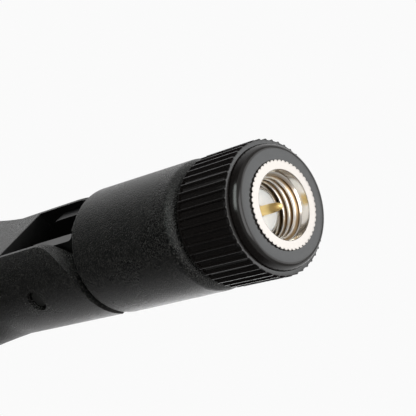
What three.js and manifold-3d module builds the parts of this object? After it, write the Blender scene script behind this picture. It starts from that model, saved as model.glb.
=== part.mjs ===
// Omnidirectional antenna with an SMA plug: hand nut, round barrel and a blade mast that tilts on a fork hinge.
// Millimetres, +Z up along the mast. The origin is on the connector's axis, at the coupling nut's front face.
import * as THREE from 'three';
import { mergeVertices } from 'three/addons/utils/BufferGeometryUtils.js';
import Module from 'manifold-3d';

const wasm = await Module();
wasm.setup();

// ---------------------------------------------------------------- driving dimensions

const facets = 40;               // sides of the turned pieces
const gap = 0.08;                // clearance between pieces that fit in each other
const runningGap = 0.1;          // clearance between pieces that turn on each other

// SMA plug, from the contact outwards
const pinRadius = 0.455;
const pinTip = 0.4;
const pinTaper = 1.2;
const pinEnd = 11.0;
const dielectricRadius = 2.05;
const dielectricEnd = 8.0;
const referencePlane = 2.9;      // the dielectric's and the outer conductor's front face
const conductorWall = 0.17;      // of the outer conductor's thin front ring
const conductorLip = 1.6;        // its length
const shellWallThickness = 0.37; // of the rest of the connector's shell
const shellEnd = 12.0;
const crimpNeckWall = 0.3;
const crimpLength = 5.5;
const braidWall = 0.12;
const ferruleWall = 0.5;
const gasketWidth = 0.34;
const ringStart = 5.4;           // the snap ring's groove in the shell and the nut
const ringThickness = 0.5;
const ringDepth = 0.2;           // how deep the groove is cut into the shell
const ringReach = 0.35;          // how far the snap ring stands out of the shell, into the nut

// coupling nut
const threadDepth = 0.41;        // from the 1/4-36 thread's minor radius to the smooth relief at the mouth
const mouthDepth = 1.0;
const threadEnd = 4.6;
const nutWall = 0.89;            // outside the relief
const nutLength = 7.0;

// hand collar round the nut
const collarFront = 0.15;
const collarLipWall = 1.67;      // walls are measured from the nut's outside
const collarLipRound = 0.66;
const collarLandWall = 1.75;
const collarRibWall = 2.2;
const collarRibDepth = 0.3;
const collarRibStart = 1.1;
const collarRibEnd = 7.28;
const collarEnd = 7.9;
const ribCount = 48;

// swivel barrel
const barrelLength = 14.7;
const barrelFrontGap = 0.3;      // between the hand collar and the barrel
const barrelFrontRadius = 6.35;
const barrelRearRadius = 6.48;
const barrelFrontRound = 1.1;
const barrelRimRound = 0.25;
const barrelFloor = 2.4;         // solid floor between the connector's chamber and the hinge

// fork hinge
const hingeRise = 8.7;           // the hinge's height above the barrel's end
const tongueHalfWidth = 3.6;     // along Y
const tongueRadius = 4.3;        // round end about the hinge
const tongueFillet = 1.9;
const channelHalfWidth = 2.1;    // open channel for the coax
const channelBack = 2.0;         // from the axis to its wall, on the side away from the fold
const slotClearance = 0.2;       // between the tongue and each arm
const rootClearance = 0.2;       // between the tongue's round end and the slot's root
const armRadius = 6.5;
const armTipGap = 0.9;           // between the arms' tips and the barrel
const armRound = 6.2;            // rounded corner on the fold side
const armRoundRise = 5.8;        // its centre above the arms' tips
const pivotPinRadius = 1.1;
const pivotPinSink = 0.4;        // how far the pin's end is sunk below the arm's surface
const pivotPinInset = 0.2;       // how far the pin stays clear of the coax channel

// mast: a fork knuckle plugged into a blade-shaped sleeve, wide along Y and flat on both X sides
const mastLength = 164.4;        // from the hinge to the tip
const flatHalfThickness = 5.0;   // the flats run from the arms to the tip
const tipHalfThickness = 4.3;
const sideHalfThickness = 5.6;   // of the rounded sides, before the flats are cut
const shoulderRise = 3.9;        // from the slot's root to where the shoulder starts
const shoulderLength = 18.5;
const bladeHalfWidth = 11;
const bladeSquareness = 3.2;     // exponent of the blade's section: 2 is an ellipse
const tipRound = 6;
const tipEndHalfWidth = 5.4;     // of the flat end of the tip
const tipEndHalfThickness = 2.3;
const sleeveRise = 24;           // from the slot's root to the joint between the knuckle and the sleeve
const sleeveWall = 1.5;
const spigotLength = 8;
const spigotWall = 1.4;
const pocketRise = 9;            // from the slot's root to the pocket in the knuckle
const railThickness = 0.8;       // rails inside the sleeve that hold the board's edges
const railLap = 0.8;             // how far a rail reaches over the board

// coax and antenna board
const coaxRadius = 0.9;
const coaxBraidRadius = 0.68;
const coaxDielectricRadius = 0.42;
const coaxCoreRadius = 0.15;
const coaxBend = 5.5;            // length of free coax on each side of the hinge
const boardHalfWidth = 7;
const boardThickness = 0.8;
const boardLength = 116;
const boardRise = 34;            // from the slot's root to the board
const trackThickness = 0.1;
const elementLength = 52;
const elementHalfWidth = 4.5;
const legGap = 1.6;           // half the gap between the two legs of the lower element
const foamLength = 10;

// ---------------------------------------------------------------- derived sizes and places

const pinBore = pinRadius + gap;
const shellBore = dielectricRadius + gap;
const conductorRadius = shellBore + conductorWall;
const shellRadius = shellBore + shellWallThickness;
const ringRadius = shellRadius + ringReach;
const neckBore = coaxDielectricRadius + gap;
const crimpNeckRadius = neckBore + crimpNeckWall;
const braidBore = crimpNeckRadius + gap;
const braidRadius = braidBore + braidWall;
const ferruleBore = braidRadius + gap;
const threadRadius = conductorRadius + gasketWidth + 2 * gap;
const mouthRadius = threadRadius + threadDepth;
const nutRadius = mouthRadius + nutWall;
const collarLipRadius = nutRadius + collarLipWall;
const collarLandRadius = nutRadius + collarLandWall;
const collarRibRadius = nutRadius + collarRibWall;
const barrelStart = collarEnd + barrelFrontGap;
const barrelEnd = barrelStart + barrelLength;
const hingeHeight = barrelEnd + hingeRise;
const armTips = barrelEnd + armTipGap;
const slotHalfWidth = tongueHalfWidth + slotClearance;
const slotRoot = hingeHeight + tongueRadius + rootClearance;
const shoulderStart = slotRoot + shoulderRise;
const shoulderEnd = shoulderStart + shoulderLength;
const sleeveStart = slotRoot + sleeveRise;
const mastTop = hingeHeight + mastLength;
const coaxBendStart = hingeHeight - coaxBend;
const coaxBendEnd = hingeHeight + coaxBend;
const boardStart = slotRoot + boardRise;
const boardEnd = boardStart + boardLength;
const feedHeight = (boardStart + boardEnd) / 2;
const boardFront = coaxRadius + 0.1;
const boardBack = boardFront + boardThickness;

// ---------------------------------------------------------------- helpers

// A closed three.js geometry as a solid that can be joined and cut.
function solid(geometry) {
  geometry.deleteAttribute('normal');
  geometry.deleteAttribute('uv');
  const merged = mergeVertices(geometry, 1e-5);
  return new wasm.Manifold(new wasm.Mesh({
    numProp: 3,
    vertProperties: new Float32Array(merged.attributes.position.array),
    triVerts: new Uint32Array(merged.index.array),
  }));
}

// A ring or plug turned about Z. The outline is a list of [radius, height], anticlockwise as seen with +Z up.
function turned(outline, sides = facets) {
  const points = outline.map(([radius, height]) => new THREE.Vector2(radius, height));
  points.push(points[0].clone());
  return solid(new THREE.LatheGeometry(points, sides).rotateX(Math.PI / 2));
}

// A round rod along Z.
function rod(radius, start, end, sides = facets) {
  return solid(new THREE.CylinderGeometry(radius, radius, end - start, sides)
    .rotateX(Math.PI / 2).translate(0, 0, (start + end) / 2));
}

function tube(innerRadius, outerRadius, start, end, sides = facets) {
  return turned([[innerRadius, start], [outerRadius, start], [outerRadius, end], [innerRadius, end]], sides);
}

// A round rod along Y.
function crossRod(radius, start, end, height, sides = 24) {
  return solid(new THREE.CylinderGeometry(radius, radius, end - start, sides)
    .translate(0, (start + end) / 2, height));
}

function block(low, high) {
  const size = high.map((value, i) => value - low[i]);
  const centre = high.map((value, i) => (value + low[i]) / 2);
  return solid(new THREE.BoxGeometry(...size).translate(...centre));
}

// An outline in X and Z, extruded along Y from -halfWidth to +halfWidth.
function sidePlate(shape, halfWidth, curveSegments = 8) {
  const settings = { depth: 2 * halfWidth, bevelEnabled: false, curveSegments };
  return solid(new THREE.ExtrudeGeometry(shape, settings).rotateX(Math.PI / 2).translate(0, halfWidth, 0));
}

// Points of a quarter-round between two directions, in degrees, about a centre in radius and height.
function round(radius, centreR, centreZ, fromDegrees, toDegrees, steps = 4) {
  return Array.from({ length: steps + 1 }, (_, i) => {
    const angle = THREE.MathUtils.degToRad(fromDegrees + (toDegrees - fromDegrees) * i / steps);
    return [centreR + radius * Math.cos(angle), centreZ + radius * Math.sin(angle)];
  });
}

const materials = {
  nickel: new THREE.MeshStandardMaterial({ color: 0xd9d4c8, roughness: 0.22, metalness: 1 }),
  gold: new THREE.MeshStandardMaterial({ color: 0xe0a94a, roughness: 0.25, metalness: 1 }),
  steel: new THREE.MeshStandardMaterial({ color: 0x9a9a9c, roughness: 0.3, metalness: 1 }),
  copper: new THREE.MeshStandardMaterial({ color: 0xb87333, roughness: 0.35, metalness: 1 }),
  solder: new THREE.MeshStandardMaterial({ color: 0xb8b8b6, roughness: 0.35, metalness: 1 }),
  ptfe: new THREE.MeshStandardMaterial({ color: 0xf1efe9, roughness: 0.5, metalness: 0 }),
  silicone: new THREE.MeshStandardMaterial({ color: 0xb5482e, roughness: 0.6, metalness: 0 }),
  glossBlack: new THREE.MeshStandardMaterial({ color: 0x101011, roughness: 0.3, metalness: 0 }),
  matteBlack: new THREE.MeshStandardMaterial({ color: 0x191a1b, roughness: 0.65, metalness: 0 }),
  jacket: new THREE.MeshStandardMaterial({ color: 0x2a2522, roughness: 0.5, metalness: 0 }),
  laminate: new THREE.MeshStandardMaterial({ color: 0x2f5d3a, roughness: 0.45, metalness: 0 }),
  foam: new THREE.MeshStandardMaterial({ color: 0x3a3a3c, roughness: 0.95, metalness: 0 }),
};

const antenna = new THREE.Group();

function add(name, body, material) {
  const { vertProperties, triVerts } = body.getMesh();
  const geometry = new THREE.BufferGeometry();
  geometry.setAttribute('position', new THREE.BufferAttribute(new Float32Array(vertProperties), 3));
  geometry.setIndex(new THREE.BufferAttribute(new Uint32Array(triVerts), 1));
  const mesh = new THREE.Mesh(geometry, material);
  mesh.name = name;
  antenna.add(mesh);
}

// ---------------------------------------------------------------- SMA plug

const ringEnd = ringStart + ringThickness;

function connectorShell() {
  const backBore = 1.4;
  return turned([
    [shellBore, referencePlane], [conductorRadius, referencePlane],
    [conductorRadius, referencePlane + conductorLip], [shellRadius, referencePlane + conductorLip],
    [shellRadius, ringStart - gap], [shellRadius - ringDepth, ringStart - gap],
    [shellRadius - ringDepth, ringEnd + gap], [shellRadius, ringEnd + gap],
    [shellRadius, shellEnd], [crimpNeckRadius, shellEnd],
    [crimpNeckRadius, shellEnd + crimpLength], [neckBore, shellEnd + crimpLength],
    [neckBore, shellEnd - gap], [backBore, shellEnd - 0.5],
    [backBore, dielectricEnd], [shellBore, dielectricEnd],
  ]);
}
add('connector_shell', connectorShell(), materials.nickel);

add('dielectric', tube(pinBore, dielectricRadius, referencePlane, dielectricEnd - gap), materials.ptfe);

// The contact has a rounded cone at its tip and a solder cup at its back.
function centrePin() {
  const cupRadius = 0.6;
  const cupDepth = 0.9;
  const cupBore = coaxCoreRadius + gap;
  const cupStart = dielectricEnd + gap;
  return turned([
    [0, pinTip], [pinRadius * 0.5, pinTip + pinTaper * 0.05], [pinRadius * 0.88, pinTip + pinTaper * 0.5],
    [pinRadius, pinTip + pinTaper], [pinRadius, cupStart], [cupRadius, cupStart], [cupRadius, pinEnd],
    [cupBore, pinEnd], [cupBore, pinEnd - cupDepth], [0, pinEnd - cupDepth],
  ], 20);
}
add('centre_pin', centrePin(), materials.gold);

// The gasket lies at the thread's root, round the outer conductor.
const gasketBore = conductorRadius + gap;
const gasketEnd = referencePlane + conductorLip - gap;
const gasketThickness = 0.7;
add('mouth_gasket',
  tube(gasketBore, gasketBore + gasketWidth, gasketEnd - gasketThickness, gasketEnd), materials.silicone);

// The split snap ring sits half in the shell's groove and half in the nut's.
function snapRing() {
  const splitAngle = 0.35;
  const shape = new THREE.Shape();
  const inner = shellRadius - ringDepth + gap;
  shape.absarc(0, 0, ringRadius, splitAngle, 2 * Math.PI - splitAngle, false);
  shape.absarc(0, 0, inner, 2 * Math.PI - splitAngle, splitAngle, true);
  shape.closePath();
  const settings = { depth: ringThickness, bevelEnabled: false, curveSegments: 16 };
  return solid(new THREE.ExtrudeGeometry(shape, settings).translate(0, 0, ringStart));
}
add('snap_ring', snapRing(), materials.steel);

add('crimp_ferrule',
  tube(ferruleBore, ferruleBore + ferruleWall, shellEnd + gap, shellEnd + crimpLength), materials.nickel);

// ---------------------------------------------------------------- coupling nut and its hand collar

function couplingNut() {
  const edge = 0.12;
  const bearingBore = shellRadius + runningGap;
  const grooveRadius = ringRadius + runningGap;
  return turned([
    [mouthRadius, 0], [nutRadius - edge, 0], [nutRadius, edge], [nutRadius, nutLength],
    [bearingBore, nutLength], [bearingBore, ringEnd + runningGap], [grooveRadius, ringEnd + runningGap],
    [grooveRadius, ringStart - runningGap], [bearingBore, ringStart - runningGap],
    [bearingBore, threadEnd], [threadRadius, threadEnd], [threadRadius, mouthDepth + 0.3],
    [mouthRadius, mouthDepth],
  ]);
}
add('coupling_nut', couplingNut(), materials.nickel);

// Straight ribs round a turned body: the outline is a ring of narrow crests with wide grooves between them.
function ribbedRing(innerRadius, rootRadius, crestRadius, start, end) {
  const shape = new THREE.Shape();
  const pitch = 2 * Math.PI / ribCount;
  const crestShare = 0.3;
  const rootShare = 0.3;
  const at = (radius, turns) => [radius * Math.cos(turns * pitch), radius * Math.sin(turns * pitch)];
  for (let i = 0; i < ribCount; i += 1) {
    const corners = [
      at(rootRadius, i - rootShare / 2), at(rootRadius, i + rootShare / 2),
      at(crestRadius, i + 0.5 - crestShare / 2), at(crestRadius, i + 0.5 + crestShare / 2),
    ];
    corners.forEach(([x, y], k) => (i + k === 0 ? shape.moveTo(x, y) : shape.lineTo(x, y)));
  }
  shape.closePath();
  const bar = new THREE.ExtrudeGeometry(shape, { depth: end - start, bevelEnabled: false });
  return solid(bar.translate(0, 0, start)).subtract(rod(innerRadius, start - 1, end + 1));
}

function nutCollar() {
  const bore = nutRadius + gap;
  const rootRadius = collarRibRadius - collarRibDepth;
  const lipCentre = collarLipRadius - collarLipRound;
  const core = turned([
    [bore, collarFront], ...round(collarLipRound, lipCentre, collarFront + collarLipRound, -90, 0),
    [collarLipRadius, collarRibStart - 0.1], [collarLandRadius, collarRibStart + 0.1],
    [collarLandRadius, collarEnd], [bore, collarEnd],
  ], ribCount);
  return core.add(ribbedRing(bore + 0.6, rootRadius, collarRibRadius, collarRibStart, collarRibEnd));
}
add('nut_collar', nutCollar(), materials.glossBlack);

// ---------------------------------------------------------------- swivel barrel

const coaxHole = coaxRadius + 0.3;

// The tongue seen along the hinge: parallel sides that flare into the barrel, and a round end.
function tongueShape() {
  const shape = new THREE.Shape();
  const foot = tongueRadius + tongueFillet;
  const rootHeight = barrelEnd + tongueFillet;
  const embed = 1.5;
  shape.moveTo(-foot, barrelEnd - embed);
  shape.lineTo(foot, barrelEnd - embed);
  shape.lineTo(foot, barrelEnd);
  shape.absarc(foot, rootHeight, tongueFillet, -Math.PI / 2, -Math.PI, true);
  shape.absarc(0, hingeHeight, tongueRadius, 0, Math.PI, false);
  shape.absarc(-foot, rootHeight, tongueFillet, 0, -Math.PI / 2, true);
  shape.closePath();
  return shape;
}

function barrel() {
  const front = barrelFrontRadius - barrelFrontRound;
  const rim = barrelRearRadius - barrelRimRound;
  const chamber = ferruleBore + ferruleWall + 0.3;
  const shellSeat = shellRadius + gap;
  const body = turned([
    [shellSeat, barrelStart], ...round(barrelFrontRound, front, barrelStart + barrelFrontRound, -90, 0),
    ...round(barrelRimRound, rim, barrelEnd - barrelRimRound, 0, 90, 2),
    [coaxHole, barrelEnd], [coaxHole, barrelEnd - barrelFloor], [chamber, barrelEnd - barrelFloor],
    [chamber, shellEnd + gap], [shellSeat, shellEnd + gap],
  ], 48);
  const limit = rod(barrelRearRadius - 0.1, barrelStart, slotRoot, 48);
  const bore = rod(coaxHole, barrelEnd - barrelFloor, slotRoot, 24);
  const channel = block(
    [-channelBack, -channelHalfWidth, barrelEnd + 0.4],
    [armRadius + 1, channelHalfWidth, slotRoot]);
  const pivotBore = crossRod(pivotPinRadius + runningGap, -armRadius, armRadius, hingeHeight);
  const tongue = sidePlate(tongueShape(), tongueHalfWidth, 10).intersect(limit);
  return body.add(tongue).subtract(bore).subtract(channel).subtract(pivotBore);
}
add('barrel', barrel(), materials.matteBlack);

// ---------------------------------------------------------------- mast

// The mast's section at a height: half-width along Y, half-thickness along X and how square it is.
function mastSection(height) {
  const t = THREE.MathUtils.clamp((height - shoulderStart) / shoulderLength, 0, 1);
  const grown = t * t * (3 - 2 * t);
  const intoTip = THREE.MathUtils.clamp((height - (mastTop - tipRound)) / tipRound, 0, 1);
  const shrunk = 1 - Math.sqrt(1 - intoTip * intoTip);
  const { lerp } = THREE.MathUtils;
  return {
    halfWidth: lerp(lerp(armRadius, bladeHalfWidth, grown), tipEndHalfWidth, shrunk),
    halfThickness: lerp(lerp(armRadius, sideHalfThickness, grown), tipEndHalfThickness, shrunk),
    squareness: lerp(2, bladeSquareness, Math.sin(Math.PI / 2 * t)),
  };
}

// Rows close together where the shoulder and the tip curve, and far apart along the straight blade.
function mastRows(start, end) {
  const shoulderRows = 9;
  const tipRows = 6;
  const rows = [];
  for (let i = 0; i <= shoulderRows; i += 1) {
    rows.push(THREE.MathUtils.lerp(shoulderStart, shoulderEnd, i / shoulderRows));
  }
  for (let i = 0; i <= tipRows; i += 1) {
    rows.push(mastTop - tipRound + tipRound * Math.sin(Math.PI / 2 * i / tipRows));
  }
  const shortestRow = 0.2;
  return [start, ...rows.filter((height) => height > start + shortestRow && height < end - shortestRow), end];
}

// The mast seen along the hinge, inset by a wall: the arms have a square corner on the stop side and a round
// one on the fold side, and the flats taper slightly to the tip.
function mastOutline(inset) {
  const shape = new THREE.Shape();
  const flat = flatHalfThickness - inset;
  const tip = tipHalfThickness - inset;
  const roundX = flat - armRound;
  const roundZ = armTips + armRoundRise;
  const startAngle = -Math.asin(armRoundRise / armRound);
  shape.moveTo(-flat, armTips);
  shape.lineTo(roundX + armRound * Math.cos(startAngle), armTips);
  shape.absarc(roundX, roundZ, armRound, startAngle, 0, false);
  shape.lineTo(flat, slotRoot);
  shape.lineTo(tip, mastTop + 1);
  shape.lineTo(-tip, mastTop + 1);
  shape.lineTo(-flat, slotRoot);
  shape.closePath();
  return shape;
}

// A stretch of the mast, inset by a wall thickness: a column with rounded sections, cut by the outline.
function mastStretch(start, end, inset) {
  const heights = mastRows(start, end);
  const column = new THREE.CylinderGeometry(1, 1, 1, facets, heights.length - 1).rotateX(Math.PI / 2);
  const position = column.attributes.position;
  for (let i = 0; i < position.count; i += 1) {
    const height = heights[Math.round((position.getZ(i) + 0.5) * (heights.length - 1))];
    const { halfWidth, halfThickness, squareness } = mastSection(height);
    const place = (value, half) => Math.sign(value) * Math.abs(value) ** (2 / squareness) * (half - inset);
    position.setXYZ(i, place(position.getX(i), halfThickness), place(position.getY(i), halfWidth), height);
  }
  return solid(column).intersect(sidePlate(mastOutline(inset), bladeHalfWidth + 1, 12));
}

// The knuckle carries the fork's arms, the shoulder and a hollow spigot that plugs into the sleeve.
function forkKnuckle() {
  const reach = bladeHalfWidth + 1;
  const spigotEnd = sleeveStart + spigotLength;
  const spigotInset = sleeveWall + gap;
  const pocketStart = slotRoot + pocketRise;
  const outside = mastStretch(armTips - 1, sleeveStart, 0);
  const spigot = mastStretch(sleeveStart - 1, spigotEnd, spigotInset);
  const pocket = mastStretch(pocketStart, spigotEnd + 1, spigotInset + spigotWall);
  const slot = block([-reach, -slotHalfWidth, armTips - 2], [reach, slotHalfWidth, slotRoot]);
  const coaxWay = rod(coaxHole, slotRoot - 1, pocketStart + 1, 24);
  const pinHoles = crossRod(pivotPinRadius + gap, -reach, reach, hingeHeight);
  return outside.add(spigot).subtract(pocket).subtract(slot).subtract(coaxWay).subtract(pinHoles);
}
add('fork_knuckle', forkKnuckle(), materials.matteBlack);

// Four rails along the sleeve's narrow sides hold the board's edges between them.
function boardRails() {
  const slide = 0.12;
  const reach = bladeHalfWidth + 1;
  const start = sleeveStart + spigotLength + 1;
  const end = mastTop + 1;
  const opening = boardHalfWidth - railLap;
  const faces = [boardFront - slide - railThickness, boardBack + slide];
  return faces
    .map((face) => block([face, -reach, start], [face + railThickness, reach, end]))
    .reduce((all, rail) => all.add(rail))
    .subtract(block([-reach, -opening, start - 1], [reach, opening, end + 1]));
}

// The sleeve is one long cap, closed at the tip.
function bladeSleeve() {
  const hollow = mastStretch(sleeveStart - 1, mastTop - sleeveWall, sleeveWall);
  return mastStretch(sleeveStart + gap, mastTop, 0).subtract(hollow.subtract(boardRails()));
}
add('blade_sleeve', bladeSleeve(), materials.matteBlack);

// ---------------------------------------------------------------- hinge pins

// Two stub pins: pressed into the arms, turning in the tongue's cheeks, and clear of the coax between them.
const pinOuter = armRadius - pivotPinSink;
const pinInner = channelHalfWidth + pivotPinInset;
add('pivot_pin_near', crossRod(pivotPinRadius, -pinOuter, -pinInner, hingeHeight), materials.steel);
add('pivot_pin_far', crossRod(pivotPinRadius, pinInner, pinOuter, hingeHeight), materials.steel);

// ---------------------------------------------------------------- coax

// The board and what is soldered to it are laid out in X and Z, then turned to be wide along Y.
function addToBoard(name, body, material) {
  add(name, body.rotate([0, 0, -90]), material);
}

const coaxSides = 12;
const seam = 0.05;               // between the ends of one stretch of coax and the next
const cupMouth = pinEnd - 0.7;
const bareCoreEnd = pinEnd + 0.6;
const crimpEnd = shellEnd + crimpLength;

add('coax_tail_core', rod(coaxCoreRadius, cupMouth, bareCoreEnd, coaxSides), materials.copper);
add('coax_tail_dielectric',
  rod(coaxDielectricRadius, bareCoreEnd + seam, crimpEnd + 0.3, coaxSides), materials.ptfe);
add('coax_tail_braid', tube(braidBore, braidRadius, shellEnd + gap, crimpEnd - 0.3), materials.copper);
add('coax_in_barrel', rod(coaxRadius, crimpEnd + 0.4, coaxBendStart, coaxSides), materials.jacket);
add('coax_hinge', rod(coaxRadius, coaxBendStart + seam, coaxBendEnd - seam, coaxSides), materials.jacket);

const jacketEnd = feedHeight - 5;
const braidEnd = feedHeight - 1.5;
const dielectricTip = feedHeight - 0.2;
const corePad = feedHeight + 2.4;
add('coax_in_mast', rod(coaxRadius, coaxBendEnd, jacketEnd, coaxSides), materials.jacket);
add('coax_braid', rod(coaxBraidRadius, jacketEnd + seam, braidEnd, coaxSides), materials.copper);
add('coax_dielectric', rod(coaxDielectricRadius, braidEnd + seam, dielectricTip, coaxSides), materials.ptfe);

// The bare core bends over to the upper element.
const trackBack = boardFront - 0.02;
const trackFront = trackBack - trackThickness;
function coaxCore() {
  const lift = trackFront - coaxCoreRadius - 0.05;
  const path = new THREE.CatmullRomCurve3([
    new THREE.Vector3(0, 0, dielectricTip + seam), new THREE.Vector3(0, 0, dielectricTip + 0.5),
    new THREE.Vector3(0, lift, feedHeight + 1.4), new THREE.Vector3(0, lift, corePad)]);
  const section = new THREE.Shape().absarc(0, 0, coaxCoreRadius, 0, 2 * Math.PI, false);
  const settings = { steps: 8, extrudePath: path, bevelEnabled: false, curveSegments: 8 };
  return solid(new THREE.ExtrudeGeometry(section, settings));
}
addToBoard('coax_core', coaxCore(), materials.copper);

// ---------------------------------------------------------------- antenna board

addToBoard('antenna_board', block(
  [-boardHalfWidth, boardFront, boardStart],
  [boardHalfWidth, boardBack, boardEnd]), materials.laminate);

// The upper element is a tapered strip above the feed.
function upperElement() {
  const shape = new THREE.Shape();
  const footHalfWidth = 1.2;
  const taperEnd = feedHeight + 8;
  const top = feedHeight + 1 + elementLength;
  shape.moveTo(-footHalfWidth, feedHeight + 1);
  shape.lineTo(footHalfWidth, feedHeight + 1);
  shape.lineTo(elementHalfWidth, taperEnd);
  shape.lineTo(elementHalfWidth, top);
  shape.lineTo(-elementHalfWidth, top);
  shape.lineTo(-elementHalfWidth, taperEnd);
  shape.closePath();
  return sidePlate(shape, trackThickness / 2).translate([0, (trackFront + trackBack) / 2, 0]);
}
addToBoard('upper_element', upperElement(), materials.copper);

// The lower element is a sleeve of two legs beside the coax, joined by a bridge at the feed.
function lowerElement() {
  const bridge = 3.5;
  const top = feedHeight - 1;
  const bottom = top - elementLength;
  const whole = block([-elementHalfWidth, trackFront, bottom], [elementHalfWidth, trackBack, top]);
  return whole.subtract(block([-legGap, trackFront - 1, bottom - 1], [legGap, trackBack + 1, top - bridge]));
}
addToBoard('lower_element', lowerElement(), materials.copper);

const trimHalfWidth = 2;
const trimHalfLength = 20;
addToBoard('back_element', block(
  [-trimHalfWidth, boardBack + 0.02, feedHeight - trimHalfLength],
  [trimHalfWidth, boardBack + 0.02 + trackThickness, feedHeight + trimHalfLength]), materials.copper);

// A low cone of solder between a conductor and its copper track.
function solderJoint(conductorSurface, height, radius) {
  const start = conductorSurface + 0.03;
  const end = trackFront - 0.03;
  return solid(new THREE.CylinderGeometry(radius, radius * 0.6, end - start, 16)
    .translate(0, (start + end) / 2, height));
}
addToBoard('braid_solder', solderJoint(coaxBraidRadius, jacketEnd + 2.2, 1.1), materials.solder);

const coreJointLength = 0.9;
const coreJointWidth = 0.5;
addToBoard('core_solder', block(
  [coaxCoreRadius + seam, trackFront - 0.35, corePad - coreJointLength],
  [coaxCoreRadius + seam + coreJointWidth, trackFront - 0.03, corePad]), materials.solder);

// A foam pad between the board and the sleeve, and a bead of glue that anchors the coax in the knuckle.
function foamPad(height) {
  const halfWidth = 4;
  const front = -tipHalfThickness + sleeveWall + 0.3;
  const halfLength = foamLength / 2;
  return block([-halfWidth, front, height - halfLength], [halfWidth, trackFront - 0.1, height + halfLength]);
}
addToBoard('foam_pad', foamPad(boardEnd - 2 * foamLength), materials.foam);
const glueStart = slotRoot + pocketRise + 1;
const glueLength = 4;
const glueRadius = coaxRadius + 0.9;
const glueEnd = glueStart + glueLength;
add('coax_glue', tube(coaxRadius + gap, glueRadius, glueStart, glueEnd, 16), materials.silicone);

export default antenna;
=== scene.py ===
import math

import bmesh
import bpy
from mathutils import Matrix, Vector


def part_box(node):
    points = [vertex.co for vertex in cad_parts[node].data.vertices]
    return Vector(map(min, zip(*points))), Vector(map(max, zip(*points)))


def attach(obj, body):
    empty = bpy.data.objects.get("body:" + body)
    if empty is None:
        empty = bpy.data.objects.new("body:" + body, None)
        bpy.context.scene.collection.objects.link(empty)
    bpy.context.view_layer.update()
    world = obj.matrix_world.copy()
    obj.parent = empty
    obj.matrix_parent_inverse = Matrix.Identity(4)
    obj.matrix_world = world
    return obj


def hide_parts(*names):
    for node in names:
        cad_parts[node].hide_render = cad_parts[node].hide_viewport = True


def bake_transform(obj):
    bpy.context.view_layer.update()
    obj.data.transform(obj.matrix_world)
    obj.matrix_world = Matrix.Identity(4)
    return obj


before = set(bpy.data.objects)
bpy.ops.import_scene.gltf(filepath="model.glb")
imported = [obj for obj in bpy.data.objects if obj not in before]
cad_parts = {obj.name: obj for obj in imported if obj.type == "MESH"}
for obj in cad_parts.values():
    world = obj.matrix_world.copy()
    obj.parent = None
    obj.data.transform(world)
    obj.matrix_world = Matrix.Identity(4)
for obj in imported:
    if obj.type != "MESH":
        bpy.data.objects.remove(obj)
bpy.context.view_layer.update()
mm = 0.001

# ---- Camera, floor and light --------------------------------------------------------------------
# A long lens looks up at the plug from below, rolled so that the mast runs away to the left. The antenna is
# held up by its plug, so the pale floor lies well under it. A white tent with one dim side and five soft
# boxes light the black plastic.

camera_aim = Vector((1.3, 1.0, 9.7)) * mm
camera_azimuth = 25.78
camera_elevation = -45.19
camera_roll = -106.15
camera_distance = 112 * mm
floor_drop = 160 * mm

camera_data = bpy.data.cameras.new("camera")
camera_data.sensor_width = 36
camera_data.lens = 102.8
camera_data.clip_start = 1 * mm
camera = bpy.data.objects.new("camera", camera_data)
turn = (
    Matrix.Rotation(math.radians(camera_azimuth), 4, "Z")
    @ Matrix.Rotation(math.radians(90 - camera_elevation), 4, "X")
    @ Matrix.Rotation(math.radians(camera_roll), 4, "Z")
)
camera.matrix_world = Matrix.Translation(camera_aim + turn @ Vector((0, 0, camera_distance))) @ turn
bpy.context.scene.collection.objects.link(camera)
bpy.context.scene.camera = camera
bpy.context.scene.view_settings.view_transform = "Standard"


class Value:
    """A shader socket that can be used in arithmetic: each operation adds a Math node."""

    def __init__(self, finish, socket):
        self.finish = finish
        self.socket = socket

    def math(self, operation, *others):
        inputs = dict(enumerate((self,) + others))
        return self.finish.node("ShaderNodeMath", {"operation": operation}, inputs)

    def __add__(self, other):
        return self.math("ADD", other)

    __radd__ = __add__

    def __mul__(self, other):
        return self.math("MULTIPLY", other)

    __rmul__ = __mul__

    def __sub__(self, other):
        return self.math("SUBTRACT", other)

    def __rsub__(self, other):
        return self * -1 + other

    def __pow__(self, other):
        return self.math("POWER", other)

    def between(self, low, high):
        """0 below low, 1 above high and smooth between them."""
        limits = {"Value": self, "From Min": low, "From Max": high}
        return self.finish.node("ShaderNodeMapRange", {"interpolation_type": "SMOOTHSTEP"}, limits)


class Finish:
    """The node tree of a material or of the world, with one method that adds any node."""

    def __init__(self, owner):
        owner.use_nodes = True
        self.tree = owner.node_tree
        self.owner = owner

    def link(self, value, socket):
        if isinstance(value, Value):
            self.tree.links.new(value.socket, socket)
        else:
            socket.default_value = value

    def node(self, kind, settings=None, inputs=None, output=0):
        node = self.tree.nodes.new(kind)
        for name, setting in (settings or {}).items():
            setattr(node, name, setting)
        for name, value in (inputs or {}).items():
            self.link(value, node.inputs[name])
        return Value(self, node.outputs[output])

    def mix(self, factor, first, second):
        """A colour between two others."""
        return self.node("ShaderNodeMix", {"data_type": "RGBA"}, {0: factor, 6: first, 7: second}, 2)

    def axes(self, vector):
        """The x, y and z of a vector socket."""
        split = self.node("ShaderNodeSeparateXYZ", {}, {0: vector})
        return [Value(self, output) for output in split.socket.node.outputs]


tent_bright = 0.86
tent_dim = 0.05
backdrop_white = 0.957
bright_side = Vector((-0.42, 0.907, 0.0))

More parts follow.
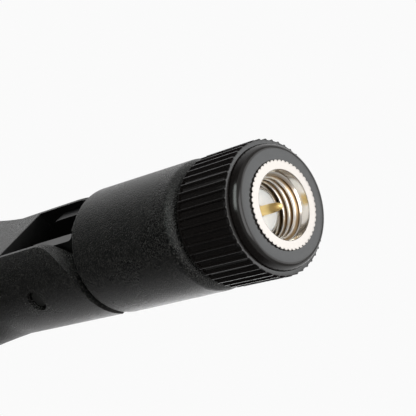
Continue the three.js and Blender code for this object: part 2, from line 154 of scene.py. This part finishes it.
world = bpy.data.worlds.new("tent")
bpy.context.scene.world = world
tent = Finish(world)
direction = tent.node("ShaderNodeTexCoord", {}, {}, "Generated")
towards_bright = tent.node(
    "ShaderNodeVectorMath", {"operation": "DOT_PRODUCT"}, {0: direction, 1: bright_side}, "Value")
glow = towards_bright.between(-0.3, 0.5) * (tent_bright - tent_dim) + tent_dim
seen_directly = tent.node("ShaderNodeLightPath", {}, {}, "Is Camera Ray")
shown = glow * (1 - seen_directly) + seen_directly * backdrop_white
backdrop = tent.tree.nodes["Background"]
backdrop.inputs["Color"].default_value = (1, 1, 1, 1)
tent.link(shown, backdrop.inputs["Strength"])


def softbox(name, place, aim, width, height, brightness, colour=(1, 1, 1)):
    """A rectangular area light, with the brightness of its face."""
    light = bpy.data.lights.new(name, "AREA")
    light.shape = "RECTANGLE"
    light.size = width
    light.size_y = height
    light.energy = brightness * math.pi * width * height
    light.color = colour
    lamp = bpy.data.objects.new(name, light)
    lamp.location = place
    lamp.rotation_euler = (aim - place).to_track_quat("-Z", "Y").to_euler()
    lamp.visible_camera = False
    bpy.context.scene.collection.objects.link(lamp)


nut_mouth = Vector((0, 0, 0))
softbox("key", Vector((-0.42, 0.34, 0.50)), camera_aim, 0.30, 0.30, 1.4)
softbox("low", Vector((-0.03, 0.06, -0.15)), nut_mouth, 0.22, 0.22, 1.4)
softbox("spark", Vector((-0.060, 0.125, -0.139)), nut_mouth, 0.075, 0.075, 1.3, (0.90, 0.96, 1))
softbox("window", Vector((0.424, -0.245, -0.080)), camera_aim, 0.34, 0.14, 4.6, (0.92, 1.0, 0.96))
softbox("mouth", Vector((0.016, -0.035, -0.145)), nut_mouth, 0.12, 0.12, 2.4)


def finish_material(name, **principled):
    """A new material whose Principled shader starts from plain values."""
    finish = Finish(bpy.data.materials.new(name))
    finish.shader = finish.tree.nodes["Principled BSDF"]
    for socket, value in principled.items():
        finish.shader.inputs[socket.replace("_", " ")].default_value = value
    finish.where = finish.node("ShaderNodeTexCoord", {}, {}, "Object")
    return finish


def noise(finish, scale, detail):
    """A cloudy pattern that stays on the piece."""
    settings = {"Vector": finish.where, "Scale": scale, "Detail": detail}
    return finish.node("ShaderNodeTexNoise", {}, settings)


floor_finish = finish_material("floor_paper", Base_Color=(0.82, 0.82, 0.80, 1), Roughness=0.9)
fibre = noise(floor_finish, 400.0, 3.0)
floor_finish.link(fibre * 0.1 + 0.82, floor_finish.shader.inputs["Roughness"])
floor_bm = bmesh.new()
bmesh.ops.create_circle(floor_bm, cap_ends=True, segments=96, radius=0.6)
bmesh.ops.translate(floor_bm, verts=floor_bm.verts, vec=(0, 0, -floor_drop))
floor_mesh = bpy.data.meshes.new("floor")
floor_bm.to_mesh(floor_mesh)
floor = bpy.data.objects.new("floor", floor_mesh)
floor_mesh.materials.append(floor_finish.owner)
bpy.context.scene.collection.objects.link(floor)

# ---- Connector shell ----------------------------------------------------------------------------
# Turned brass with bright nickel plating. Its thin front ring is the outer conductor that meets the jack, and
# the body behind it is pressed into the barrel. A groove holds the snap ring.

round_steps = 5


def turned(outline, steps):
    """A body turned about Z. The outline is a list of corners: radius, height and rounding, in mm."""
    bm = bmesh.new()
    corners = [bm.verts.new((radius * mm, 0, height * mm)) for radius, height, _ in outline]
    ends = list(zip(corners, corners[1:] + corners[:1]))
    for first, second in ends:
        if first.co.x > 0 or second.co.x > 0:
            bm.edges.new((first, second))
    for corner, (_, _, rounding) in zip(corners, outline):
        if rounding:
            bmesh.ops.bevel(bm, geom=[corner], affect="VERTICES", offset=rounding * mm, segments=round_steps,
                            profile=0.5, material=-1)
    bmesh.ops.spin(bm, geom=bm.verts[:] + bm.edges[:], cent=(0, 0, 0), axis=(0, 0, 1), dvec=(0, 0, 0),
                   angle=2 * math.pi, steps=steps, use_merge=True)
    bmesh.ops.remove_doubles(bm, verts=bm.verts, dist=0.0005 * mm)
    bmesh.ops.recalc_face_normals(bm, faces=bm.faces)
    return bm


def assemble(bm, name, finish, body, nodes, smooth=35):
    """Makes the mesh a piece that rides on a body and stands for CAD nodes."""
    mesh = bpy.data.meshes.new(name)
    bm.normal_update()
    bm.to_mesh(mesh)
    bm.free()
    mesh.shade_smooth()
    mesh.set_sharp_from_angle(angle=math.radians(smooth))
    mesh.materials.append(finish.owner)
    piece = bpy.data.objects.new(name, mesh)
    bpy.context.scene.collection.objects.link(piece)
    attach(piece, body)
    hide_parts(*nodes)
    return piece


def bumped(finish, height, strength, distance):
    """Raises and lowers the surface by a height pattern. The distance is in mm."""
    settings = {"Strength": strength, "Distance": distance * mm, "Height": height}
    finish.link(finish.node("ShaderNodeBump", {}, settings), finish.shader.inputs["Normal"])


def plated(name, colour, roughness, turning):
    """Bright plating over lathe-turned metal: fine rings follow the radius and the height."""
    finish = finish_material(name, Metallic=1.0, Roughness=roughness)
    x, y, z = finish.axes(finish.where)
    radius = (x * x + y * y) ** 0.5
    along = finish.node("ShaderNodeCombineXYZ", {}, {0: radius, 1: z, 2: 0.0})
    rings = finish.node("ShaderNodeTexNoise", {}, {"Vector": along, "Scale": 22000.0, "Detail": 2.0})
    stain = noise(finish, 700.0, 3.0)
    darker = tuple(channel * 0.82 for channel in colour) + (1,)
    stained = finish.mix(stain.between(0.45, 0.75), (*colour, 1), darker)
    finish.link(stained, finish.shader.inputs["Base Color"])
    finish.link(stain * 0.12 + (roughness - 0.04), finish.shader.inputs["Roughness"])
    bumped(finish, rings, turning, 0.004)
    return finish


nickel = plated("bright_nickel", (0.84, 0.80, 0.74), 0.24, 0.5)

shell_low, shell_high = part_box("connector_shell")
shell_front = shell_low.z / mm
shell_back = shell_high.z / mm
shell_radius = shell_high.x / mm
dielectric_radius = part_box("dielectric")[1].x / mm
shell_bore = dielectric_radius + 0.05
ring_low, ring_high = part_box("snap_ring")
groove_radius = shell_radius - 0.2
close_gap = 0.08
groove_front = ring_low.z / mm - close_gap
groove_back = ring_high.z / mm + close_gap
crimp_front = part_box("crimp_ferrule")[0].z / mm - close_gap
contact_ring_radius = 2.3
contact_ring_back = shell_front + 1.6
crimp_stub_radius = 0.8
crimp_stub_bore = 0.5
cup_room_radius = 1.4
cup_room_front = 8.0
shell_outline = [
    (shell_bore, shell_front, 0.03), (contact_ring_radius, shell_front, 0.05),
    (contact_ring_radius, contact_ring_back, 0), (shell_radius, contact_ring_back, 0.05),
    (shell_radius, groove_front, 0), (groove_radius, groove_front, 0),
    (groove_radius, groove_back, 0), (shell_radius, groove_back, 0), (shell_radius, crimp_front, 0.1),
    (crimp_stub_radius, crimp_front, 0), (crimp_stub_radius, shell_back, 0.05),
    (crimp_stub_bore, shell_back, 0), (crimp_stub_bore, crimp_front - 0.2, 0),
    (cup_room_radius, crimp_front - 0.5, 0),
    (cup_room_radius, cup_room_front, 0), (shell_bore, cup_room_front, 0),
]
assemble(turned(shell_outline, 96), "outer_conductor", nickel, "base", ["connector_shell"])

# ---- Dielectric ---------------------------------------------------------------------------------
# A sleeve of white PTFE, turned and pressed into the shell. It looks waxy and faintly cloudy, with softly
# broken edges.

ptfe = finish_material("white_ptfe", Roughness=0.42, Subsurface_Weight=0.15, Subsurface_Scale=0.3 * mm,
                       Subsurface_Radius=(1.0, 0.9, 0.8))
cloud = noise(ptfe, 900.0, 3.0)
ptfe.link(ptfe.mix(cloud, (0.95, 0.95, 0.94, 1), (0.88, 0.88, 0.87, 1)), ptfe.shader.inputs["Base Color"])
bumped(ptfe, cloud, 0.3, 0.01)

dielectric_low, dielectric_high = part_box("dielectric")
dielectric_front = dielectric_low.z / mm
dielectric_back = dielectric_high.z / mm
pin_radius = 0.455
pin_bore = pin_radius + 0.04
sleeve_outline = [
    (pin_bore, dielectric_front, 0.04), (dielectric_radius, dielectric_front, 0.08),
    (dielectric_radius, dielectric_back, 0.08), (pin_bore, dielectric_back, 0),
]
assemble(turned(sleeve_outline, 72), "ptfe_sleeve", ptfe, "base", ["dielectric"])

# ---- Centre contact -----------------------------------------------------------------------------
# A gold-plated brass pin with a rounded cone at its tip, and a solder cup for the coax's core at its back.

gold = plated("gold_plate", (1.0, 0.76, 0.33), 0.36, 0.25)
pin_low, pin_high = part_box("centre_pin")
pin_tip = pin_low.z / mm
pin_back = pin_high.z / mm
pin_taper = 1.2
cup_radius = 0.6
cup_bore = 0.23
cup_front = cup_room_front + close_gap
cup_floor = pin_back - 0.9
contact_outline = [
    (0, pin_tip, 0), (0.25, pin_tip + 0.02, 0.16), (0.41, pin_tip + pin_taper / 2, 0.3),
    (pin_radius, pin_tip + pin_taper, 0.3), (pin_radius, cup_front, 0), (cup_radius, cup_front, 0.05),
    (cup_radius, pin_back, 0.05), (cup_bore, pin_back, 0), (cup_bore, cup_floor, 0), (0, cup_floor, 0),
]
assemble(turned(contact_outline, 48), "gold_contact", gold, "base", ["centre_pin"])

# ---- Coupling nut -------------------------------------------------------------------------------
# Turned and nickel-plated brass. The mouth is relieved, the 1/4-36 thread is cut behind it, and fine straight
# notches on the outside grip the collar that is moulded over it.

nut_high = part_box("coupling_nut")[1]
nut_radius = nut_high.x / mm
nut_back = nut_high.z / mm
thread_pitch = 25.4 / 36
thread_minor = 2.80
thread_major = 3.17
thread_start = 0.75
thread_end = 4.6
mouth_radius = 3.21
mouth_depth = 0.95
running_bore = 2.6
nut_groove_radius = 2.95
nut_groove_front = ring_low.z / mm - 0.1
nut_groove_back = ring_high.z / mm + 0.1
notch_count = 50
notch_depth = 0.14
notch_half_share = 0.25
notched_above = 3.9
nut_outline = [
    (mouth_radius, 0, 0.06), (mouth_radius + 0.11, 0, 0), (nut_radius - 0.25, 0, 0), (nut_radius, 0, 0.02),
    (nut_radius, nut_back, 0.1), (running_bore, nut_back, 0), (running_bore, nut_groove_back, 0),
    (nut_groove_radius, nut_groove_back, 0), (nut_groove_radius, nut_groove_front, 0),
    (running_bore, nut_groove_front, 0), (running_bore, thread_end, 0), (thread_minor, thread_end, 0),
    (thread_minor, mouth_depth + 0.3, 0), (mouth_radius, mouth_depth, 0),
]


def carved(bm, cutter, operation):
    """The mesh after a boolean with another mesh."""
    pieces = []
    for body in (bm, cutter):
        mesh = bpy.data.meshes.new("carving")
        body.to_mesh(mesh)
        body.free()
        pieces.append(bpy.data.objects.new("carving", mesh))
        bpy.context.scene.collection.objects.link(pieces[-1])
    step = pieces[0].modifiers.new("carve", "BOOLEAN")
    step.operation = operation
    step.solver = "EXACT"
    step.object = pieces[1]
    bpy.context.view_layer.update()
    result = bmesh.new()
    result.from_object(pieces[0], bpy.context.evaluated_depsgraph_get())
    for piece in pieces:
        bpy.data.meshes.remove(piece.data)
    return result


def notched(bm):
    """Presses narrow notches with the shape of a V along the nut's outside."""
    for vert in bm.verts:
        turn_share = math.atan2(vert.co.y, vert.co.x) / (2 * math.pi) * notch_count
        off_notch = abs(turn_share - round(turn_share))
        if off_notch < notch_half_share and vert.co.xy.length > notched_above * mm:
            depth = notch_depth * (1 - off_notch / notch_half_share)
            vert.co.xy *= 1 - depth * mm / vert.co.xy.length
    return bm


def thread_ridge(minor, major, start, end):
    """The tap's ridge: a blunt V that winds round the axis, a little deeper than the bore's wall."""
    bm = bmesh.new()
    steps_per_turn = 72
    flat = 0.05
    foot_half_width = thread_pitch / 2 - 0.04
    turns = (end - start) / thread_pitch
    section = [
        (minor - 0.1, -foot_half_width), (major, -flat), (major, flat), (minor - 0.1, foot_half_width),
    ]
    corners = [bm.verts.new((radius * mm, 0, (start + height) * mm)) for radius, height in section]
    face = bm.faces.new(corners)
    steps = int(turns * steps_per_turn)
    climb = thread_pitch / steps_per_turn * mm
    bmesh.ops.spin(bm, geom=[face], cent=(0, 0, 0), axis=(0, 0, 1), dvec=(0, 0, climb),
                   angle=-2 * math.pi * turns, steps=steps, use_duplicate=False)
    bmesh.ops.recalc_face_normals(bm, faces=bm.faces)
    return bm


nut = notched(turned(nut_outline, 8 * notch_count))
nut = carved(nut, thread_ridge(thread_minor, thread_major, thread_start, thread_end - 0.3), "DIFFERENCE")
threaded = plated("nickel_over_brass", (0.72, 0.68, 0.63), 0.2, 0.6)
x, y, z = threaded.axes(threaded.where)
radius = (x * x + y * y) ** 0.5
threads = (radius * -1).between(-3.3 * mm, -3.15 * mm) * z.between(0.9 * mm, 1.2 * mm)
# Painted shade: the thread roots are painted dark brown for the shade that falls into them.
root_shade = threads * radius.between(2.81 * mm, 2.99 * mm)
tarnish = noise(threaded, 1100.0, 4.0)
# Painted shade and painted light: the front face is painted a dark nickel to tone down its bright reflection,
# and the bore behind it a pale nickel that looks lit.
shaded_face_lit_bore = threaded.mix(z.between(0.0, 0.12 * mm), (0.42, 0.39, 0.365, 1), (0.92, 0.885, 0.84, 1))
crests = threaded.mix(threads * tarnish.between(0.45, 0.7), shaded_face_lit_bore, (0.98, 0.86, 0.68, 1))
threaded.link(threaded.mix(root_shade, crests, (0.36, 0.24, 0.13, 1)), threaded.shader.inputs["Base Color"])
relief = z.between(0.02 * mm, 0.15 * mm) * (1 - threads)
threaded.link(relief * -0.16 + 0.29, threaded.shader.inputs["Roughness"])
assemble(nut, "threaded_nut", threaded, "nut", ["coupling_nut"], smooth=28)

# ---- Hand collar --------------------------------------------------------------------------------
# Black nylon moulded over the nut and polished by its mould: a rounded lip in front, a ring of narrow ribs
# with wide grooves to grip, and a plain land behind them.

collar_low, collar_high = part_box("nut_collar")
collar_front = collar_low.z / mm
collar_back = collar_high.z / mm
rib_crest = collar_high.x / mm
groove_depth = 0.27
groove_mouth = 0.10
rib_front = 1.12
rib_back = 7.28
rib_count = 48
rows_per_rib = 16
land_radius = 5.85
collar_bore = nut_radius + 0.01
crest_half_share = 0.065
flank_share = 0.11
run_out = 0.5
lip_back = 0.96
undercut_radius = 5.5

gloss_nylon = finish_material("gloss_nylon", Base_Color=(0.008, 0.0065, 0.006, 1), Roughness=0.2)
haze = noise(gloss_nylon, 1500.0, 4.0)
gloss_nylon.link(haze * 0.12 + 0.12, gloss_nylon.shader.inputs["Roughness"])
bumped(gloss_nylon, noise(gloss_nylon, 7000.0, 2.0), 0.25, 0.006)

rib_rows = [rib_front + rise for rise in (0.12, 0.2, 0.3, 0.42, 0.56, 2, 4, 5.9, 6.0, 6.06)]
collar_outline = [
    (collar_bore, collar_front, 0.02), (5.42, collar_front, 0.3), (5.70, lip_back - 0.3, 0.15),
    (5.79, lip_back, 0.1), (5.79, lip_back + 0.05, 0), (undercut_radius, lip_back + 0.07, 0),
    (undercut_radius, rib_front, 0), (rib_crest, rib_front, 0.06), *[(rib_crest, row, 0) for row in rib_rows],
    (rib_crest, rib_back, 0.1), (land_radius, rib_back + 0.02, 0), (land_radius, collar_back, 0.12),
    (collar_bore, collar_back, 0.05),
]


def ribbed(bm):
    """Presses the grooves between the ribs. They are shallow where they run out through the front rim."""
    for vert in bm.verts:
        radius = vert.co.xy.length / mm
        height = vert.co.z / mm
        if radius < rib_crest - 0.08 or not rib_front - 0.01 < height < rib_back + 0.01:
            continue
        turn_share = math.atan2(vert.co.y, vert.co.x) / (2 * math.pi) * rib_count
        off_crest = abs(turn_share - round(turn_share))
        across = min(max((off_crest - crest_half_share) / flank_share, 0), 1)
        along = min(max((height - rib_front) / run_out, 0), 1)
        depth = (groove_mouth + (groove_depth - groove_mouth) * along) * across * across * (3 - 2 * across)
        vert.co.xy *= (radius - depth) / radius
    return bm


collar = ribbed(turned(collar_outline, rib_count * rows_per_rib))
assemble(collar, "hand_collar", gloss_nylon, "nut", ["nut_collar"], smooth=75)

# ---- Swivel barrel ------------------------------------------------------------------------------
# Glass-filled black nylon from a spark-eroded mould, so the skin has a fine even grain and the faces between
# the arms are smooth. The tongue for the hinge is moulded in one piece with it, with an open channel for the
# coax.

barrel_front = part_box("barrel")[0].z / mm
barrel_end = 22.9
barrel_rear_radius = 6.48
barrel_front_radius = 6.35
hinge_height = 31.6
tongue_half_width = 3.6
tongue_radius = 4.3
tongue_fillet = 1.9
channel_half_width = 2.1
channel_back = 2.0
coax_hole = 1.2
slot_half_width = tongue_half_width + 0.2
slot_root = hinge_height + tongue_radius + 0.2

grain_nylon = finish_material("grained_nylon", Base_Color=(0.014, 0.014, 0.015, 1), Roughness=0.5)
x, y, z = grain_nylon.axes(grain_nylon.where)
beside_slot = y.math("ABSOLUTE").between((slot_half_width + 0.04) * mm, (slot_half_width + 0.1) * mm)
outer_skin = ((x * x + y * y) ** 0.5).between(6.2 * mm, 6.3 * mm)
past_barrel = z.between((barrel_end + 0.05) * mm, (barrel_end + 0.1) * mm)
past_slot = z.between((slot_root + 0.1) * mm, (slot_root + 0.2) * mm)
inside = (1 - beside_slot) * (1 - outer_skin) * past_barrel * (1 - past_slot)
cells = grain_nylon.node(
    "ShaderNodeTexVoronoi", {"feature": "SMOOTH_F1"}, {"Vector": grain_nylon.where, "Scale": 7800.0})
pits = noise(grain_nylon, 8000.0, 2.0) + cells * 0.4
speck = pits.between(0.66, 0.88) * (1 - inside)
wear = noise(grain_nylon, 160.0, 4.0)
grain_nylon.link(
    grain_nylon.mix(speck, (0.002, 0.002, 0.002, 1), (0.062, 0.060, 0.056, 1)),
    grain_nylon.shader.inputs["Base Color"])
grain_nylon.link(wear * 0.12 + speck * 0.1 + inside * 0.1 + 0.22, grain_nylon.shader.inputs["Roughness"])
bumped(grain_nylon, pits * (1 - inside), 1.0, 0.08)


def plate(outline, half_width):
    """An outline in X and Z, extruded along Y to both sides."""
    bm = bmesh.new()
    face = bm.faces.new([bm.verts.new((x * mm, -half_width * mm, z * mm)) for x, z in outline])
    grown = bmesh.ops.extrude_face_region(bm, geom=[face])
    moved = [item for item in grown["geom"] if isinstance(item, bmesh.types.BMVert)]
    bmesh.ops.translate(bm, verts=moved, vec=(0, 2 * half_width * mm, 0))
    bmesh.ops.recalc_face_normals(bm, faces=bm.faces)
    return bm


def arc(centre_x, centre_z, radius, start, end, steps):
    """Points of an arc in X and Z, between two angles in degrees."""
    angles = [math.radians(start + (end - start) * i / steps) for i in range(steps + 1)]
    return [(centre_x + radius * math.cos(a), centre_z + radius * math.sin(a)) for a in angles]


def block(low, high):
    """A box between two corners, in mm."""
    bm = bmesh.new()
    low, high = Vector(low) * mm, Vector(high) * mm
    place = Matrix.Translation((low + high) / 2) @ Matrix.Diagonal((*(high - low), 1))
    bmesh.ops.create_cube(bm, size=1, matrix=place)
    return bm


def rod(radius, start, end, across=False, height=0, steps=64):
    """A round rod along Z, or along Y at a height."""
    bm = bmesh.new()
    place = Matrix.Translation((0, 0, (start + end) / 2 * mm))
    if across:
        place = (Matrix.Translation((0, (start + end) / 2 * mm, height * mm))
                 @ Matrix.Rotation(math.pi / 2, 4, "X"))
    bmesh.ops.create_cone(bm, cap_ends=True, segments=steps, radius1=radius * mm, radius2=radius * mm,
                          depth=(end - start) * mm, matrix=place)
    return bm


shell_seat = shell_radius + close_gap
crimp_room_radius = 1.98
crimp_room_front = crimp_front + close_gap
crimp_room_back = barrel_end - 2.4
barrel_outline = [
    (shell_seat, barrel_front, 0.1), (barrel_front_radius, barrel_front, 1.1),
    (barrel_rear_radius, barrel_end, 0.25), (coax_hole, barrel_end, 0), (coax_hole, crimp_room_back, 0),
    (crimp_room_radius, crimp_room_back, 0), (crimp_room_radius, crimp_room_front, 0),
    (shell_seat, crimp_room_front, 0),
]
foot = tongue_radius + tongue_fillet
tongue_outline = [
    (-foot, barrel_end - 1.2), (foot, barrel_end - 1.2), (foot, barrel_end),
    *arc(foot, barrel_end + tongue_fillet, tongue_fillet, -90, -180, 10),
    *arc(0, hinge_height, tongue_radius, 0, 180, 32),
    *arc(-foot, barrel_end + tongue_fillet, tongue_fillet, 0, -90, 10),
    (-foot, barrel_end),
]
clear_above = 40
tongue_limit = rod(barrel_rear_radius - 0.1, 15, clear_above, steps=128)
tongue = carved(plate(tongue_outline, tongue_half_width), tongue_limit, "INTERSECT")
barrel = carved(turned(barrel_outline, 128), tongue, "UNION")
barrel = carved(barrel, rod(coax_hole, crimp_room_back - 0.1, clear_above, steps=32), "DIFFERENCE")
channel = block((-channel_back, -channel_half_width, barrel_end + 0.35), (8, channel_half_width, clear_above))
barrel = carved(barrel, channel, "DIFFERENCE")
barrel = carved(barrel, rod(1.2, -8, 8, across=True, height=hinge_height), "DIFFERENCE")
barrel_piece = assemble(barrel, "swivel_barrel", grain_nylon, "base", ["barrel"])


def soften(piece, width, angle=40, segments=3):
    """Rounds the sharp edges, as a mould does, and lets the large faces keep their own shading."""
    edge = piece.modifiers.new("edges", "BEVEL")
    edge.width = width * mm
    edge.segments = segments
    edge.limit_method = "ANGLE"
    edge.angle_limit = math.radians(angle)
    edge.use_clamp_overlap = True
    shading = piece.modifiers.new("shading", "WEIGHTED_NORMAL")
    shading.keep_sharp = True
    return piece


soften(barrel_piece, 0.12)

# ---- Fork knuckle -------------------------------------------------------------------------------
# The mast's foot, in the same grained nylon: two arms with a flat on both sides, a shoulder that widens along
# the hinge into the blade's section, and a hollow spigot. The blade's sleeve is pushed over the spigot and
# welded to it.

sleeve_low, sleeve_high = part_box("blade_sleeve")
arm_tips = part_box("fork_knuckle")[0].z / mm
sleeve_start = sleeve_low.z / mm - close_gap
mast_top = sleeve_high.z / mm
blade_half_width = sleeve_high.y / mm
arm_radius = 6.5
flat_half_thickness = 5.0
tip_half_thickness = 4.3
side_half_thickness = 5.6
shoulder_start = slot_root + 3.9
shoulder_length = 18.5
tip_round = 6
tip_end_half_width = 5.4
tip_end_half_thickness = 2.3
sleeve_wall = 1.5
spigot_wall = 1.4
pocket_start = slot_root + 9
section_sides = 128


def mast_section(height):
    """Half-width along Y, half-thickness along X and squareness of the mast's section at a height."""
    t = min(max((height - shoulder_start) / shoulder_length, 0), 1)
    grown = t * t * (3 - 2 * t)
    into_tip = min(max((height - (mast_top - tip_round)) / tip_round, 0), 1)
    shrunk = 1 - math.sqrt(1 - into_tip * into_tip)
    half_width = arm_radius + (blade_half_width - arm_radius) * grown
    half_thickness = arm_radius + (side_half_thickness - arm_radius) * grown
    half_width += (tip_end_half_width - half_width) * shrunk
    half_thickness += (tip_end_half_thickness - half_thickness) * shrunk
    return half_width, half_thickness, 2 + 1.2 * math.sin(math.pi / 2 * t)


def mast_column(start, end, inset):
    """A closed body through the mast's sections: one ring is extruded from row to row and pulled to size."""
    arm_rows = [start + 0.8 * i for i in range(1, 30) if start + 0.8 * i < shoulder_start - 0.4]
    shoulder_rows = [shoulder_start + shoulder_length * i / 40 for i in range(41)]
    blade_start = shoulder_start + shoulder_length
    blade_rows = [blade_start + (mast_top - tip_round - blade_start) * i / 10 for i in range(1, 11)]
    tip_rows = [mast_top - tip_round + tip_round * math.sin(math.pi / 2 * i / 16) for i in range(1, 17)]
    all_rows = arm_rows + shoulder_rows + blade_rows + tip_rows
    rows = [row for row in all_rows if start + 0.2 < row < end - 0.03]
    bm = bmesh.new()
    bmesh.ops.create_circle(bm, cap_ends=True, segments=section_sides, radius=1)
    cap = list(bm.faces)[0]
    unit = [vert.co.xy.copy() for vert in cap.verts]
    for number, height in enumerate([start, *rows, end]):
        if number:
            inside = cap
            grown = bmesh.ops.extrude_face_region(bm, geom=[cap])["geom"]
            cap = [item for item in grown if isinstance(item, bmesh.types.BMFace)][0]
            if number > 1:
                bmesh.ops.delete(bm, geom=[inside], context="FACES_ONLY")
        half_width, half_thickness, squareness = mast_section(height)
        for vert, (x, y) in zip(cap.verts, unit):
            vert.co.x = math.copysign(abs(x) ** (2 / squareness), x) * (half_thickness - inset) * mm
            vert.co.y = math.copysign(abs(y) ** (2 / squareness), y) * (half_width - inset) * mm
            vert.co.z = height * mm
    bmesh.ops.recalc_face_normals(bm, faces=bm.faces)
    return bm


def mast_stretch(start, end, inset):
    """A stretch of the mast between two heights: the column, cut by the outline seen along the hinge."""
    flat = flat_half_thickness - inset
    tip = tip_half_thickness - inset
    arm_round = 6.2
    arm_round_rise = 5.8
    round_start = -math.degrees(math.asin(arm_round_rise / arm_round))
    outline = [
        (-flat, arm_tips), *arc(flat - arm_round, arm_tips + arm_round_rise, arm_round, round_start, 0, 24),
        (flat, slot_root), (tip, mast_top + 1), (-tip, mast_top + 1), (-flat, slot_root),
    ]
    return carved(mast_column(start, end, inset), plate(outline, blade_half_width + 1), "INTERSECT")


spigot_end = sleeve_start + 8
spigot_inset = sleeve_wall + close_gap
knuckle = carved(mast_stretch(arm_tips - 1, sleeve_start, 0),
                 mast_stretch(sleeve_start - 1, spigot_end, spigot_inset), "UNION")
pocket = mast_stretch(pocket_start, spigot_end + 1, spigot_inset + spigot_wall)
knuckle = carved(knuckle, pocket, "DIFFERENCE")
fork_slot = block((-12, -slot_half_width, arm_tips - 2), (12, slot_half_width, slot_root))
knuckle = carved(knuckle, fork_slot, "DIFFERENCE")
knuckle = carved(knuckle, rod(coax_hole, slot_root - 1, pocket_start + 1, steps=32), "DIFFERENCE")
knuckle = carved(knuckle, rod(1.18, -12, 12, across=True, height=hinge_height), "DIFFERENCE")
soften(assemble(knuckle, "knuckle", grain_nylon, "mast", ["fork_knuckle"]), 0.2)

# ---- Blade sleeve -------------------------------------------------------------------------------
# One long moulded cap, closed at the tip, with four rails inside that hold the board's edges. It carries no
# marks, only the same grain, and its broad sides taper slightly to the tip.

board_low, board_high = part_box("antenna_board")
rail_slide = 0.12
rail_thickness = 0.8
rail_lap = 0.8
rail_opening = board_high.y / mm - rail_lap
hollow = mast_stretch(sleeve_start - 1, mast_top - sleeve_wall, sleeve_wall)
for face in (board_low.x / mm - rail_slide - rail_thickness, board_high.x / mm + rail_slide):
    for inner, outer in ((-12, -rail_opening), (rail_opening, 12)):
        rail = block((face, inner, spigot_end + 1), (face + rail_thickness, outer, mast_top + 1))
        hollow = carved(hollow, rail, "DIFFERENCE")
sleeve = carved(mast_stretch(sleeve_start + close_gap, mast_top, 0), hollow, "DIFFERENCE")
soften(assemble(sleeve, "sleeve", grain_nylon, "mast", ["blade_sleeve"]), 0.1)

# ---- Hinge pins ---------------------------------------------------------------------------------
# Two short steel pins, pressed into the arms. They stop short of the channel, so that the coax can pass
# between them, and their rounded ends sit just below the arms' surface.

dull_steel = plated("pin_steel", (0.15, 0.15, 0.145), 0.42, 0.3)
for name, node in (("near_pin", "pivot_pin_near"), ("far_pin", "pivot_pin_far")):
    pin_corner_low, pin_corner_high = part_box(node)
    stub = rod(1.1, pin_corner_low.y / mm, pin_corner_high.y / mm, across=True, height=hinge_height, steps=48)
    rims = [edge for edge in stub.edges if abs(edge.verts[0].co.y - edge.verts[1].co.y) < 0.001 * mm]
    bmesh.ops.bevel(stub, geom=rims, affect="EDGES", offset=0.35 * mm, segments=5, profile=0.5, material=-1)
    assemble(stub, name, dull_steel, "mast", [node])

# ---- Coax ---------------------------------------------------------------------------------------
# Thin 50 ohm coax with a smooth black jacket. It runs from the crimp, through the tongue's open channel, and
# up the mast to the board. The stretch across the hinge is built in rings.

jacket = finish_material("coax_jacket", Base_Color=(0.018, 0.017, 0.016, 1), Roughness=0.35)
jacket.link(noise(jacket, 900.0, 3.0) * 0.2 + 0.28, jacket.shader.inputs["Roughness"])
coax_radius = 0.9
ring_spacing = 0.35


def coax(node):
    """A length of jacketed coax; the stretch across the hinge is built in rings."""
    low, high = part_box(node)
    start, end = low.z / mm, high.z / mm
    rings = max(int((end - start) / ring_spacing), 1) if node == "coax_hinge" else 1
    side = [(coax_radius, start + (end - start) * i / rings, 0) for i in range(rings + 1)]
    return turned([(0, start, 0), *side, (0, end, 0)], 32)


assemble(coax("coax_in_barrel"), "coax_barrel_run", jacket, "base", ["coax_in_barrel"])
assemble(coax("coax_in_mast"), "coax_mast_run", jacket, "mast", ["coax_in_mast"])
mesh = bpy.data.meshes.new("coax_bend")
bend_bm = coax("coax_hinge")
bend_bm.to_mesh(mesh)
bend_bm.free()
mesh.shade_smooth()
mesh.set_sharp_from_angle(angle=math.radians(40))
mesh.materials.append(jacket.owner)
bend = bpy.data.objects.new("coax_bend", mesh)
bpy.context.scene.collection.objects.link(bend)
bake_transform(bend)
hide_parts("coax_hinge")

# ---- Inner parts --------------------------------------------------------------------------------
# The pieces that stay hidden in normal use keep their plain shapes: the radiator's board with its copper,
# solder and foam, the ends of the coax, the snap ring, the ferrule and the seal.


def give(nodes, finish):
    """Gives CAD nodes a finish."""
    for node in nodes:
        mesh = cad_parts[node].data
        mesh.materials.clear()
        mesh.materials.append(finish.owner)


copper = plated("copper", (0.80, 0.42, 0.24), 0.3, 0.2)
tinned = plated("tinned_copper", (0.75, 0.68, 0.60), 0.32, 0.4)
steel = plated("spring_steel", (0.55, 0.55, 0.56), 0.25, 0.3)
give(["snap_ring"], steel)
give(["crimp_ferrule"], nickel)
give(["coax_tail_core", "coax_tail_braid", "coax_braid", "coax_core"], tinned)
give(["coax_tail_dielectric", "coax_dielectric"], ptfe)
give(["upper_element", "lower_element", "back_element"], copper)
give(["braid_solder", "core_solder"], tinned)
mask = finish_material("solder_mask", Base_Color=(0.02, 0.12, 0.045, 1), Roughness=0.35)
weave = noise(mask, 1200.0, 2.0)
mask.link(mask.mix(weave, (0.015, 0.10, 0.04, 1), (0.03, 0.15, 0.06, 1)), mask.shader.inputs["Base Color"])
give(["antenna_board"], mask)
seal = finish_material("silicone", Base_Color=(0.11, 0.085, 0.065, 1), Roughness=0.55)
seal.link(noise(seal, 1500.0, 3.0) * 0.2 + 0.45, seal.shader.inputs["Roughness"])
give(["mouth_gasket"], seal)
glue = finish_material("hot_melt", Base_Color=(0.75, 0.70, 0.58, 1), Roughness=0.4)
glue.link(noise(glue, 600.0, 3.0) * 0.3 + 0.25, glue.shader.inputs["Roughness"])
give(["coax_glue"], glue)
foam = finish_material("foam", Base_Color=(0.03, 0.03, 0.032, 1), Roughness=0.95)
pores = foam.node("ShaderNodeTexVoronoi", {}, {"Vector": foam.where, "Scale": 2500.0})
bumped(foam, pores, 1.0, 0.1)
give(["foam_pad"], foam)
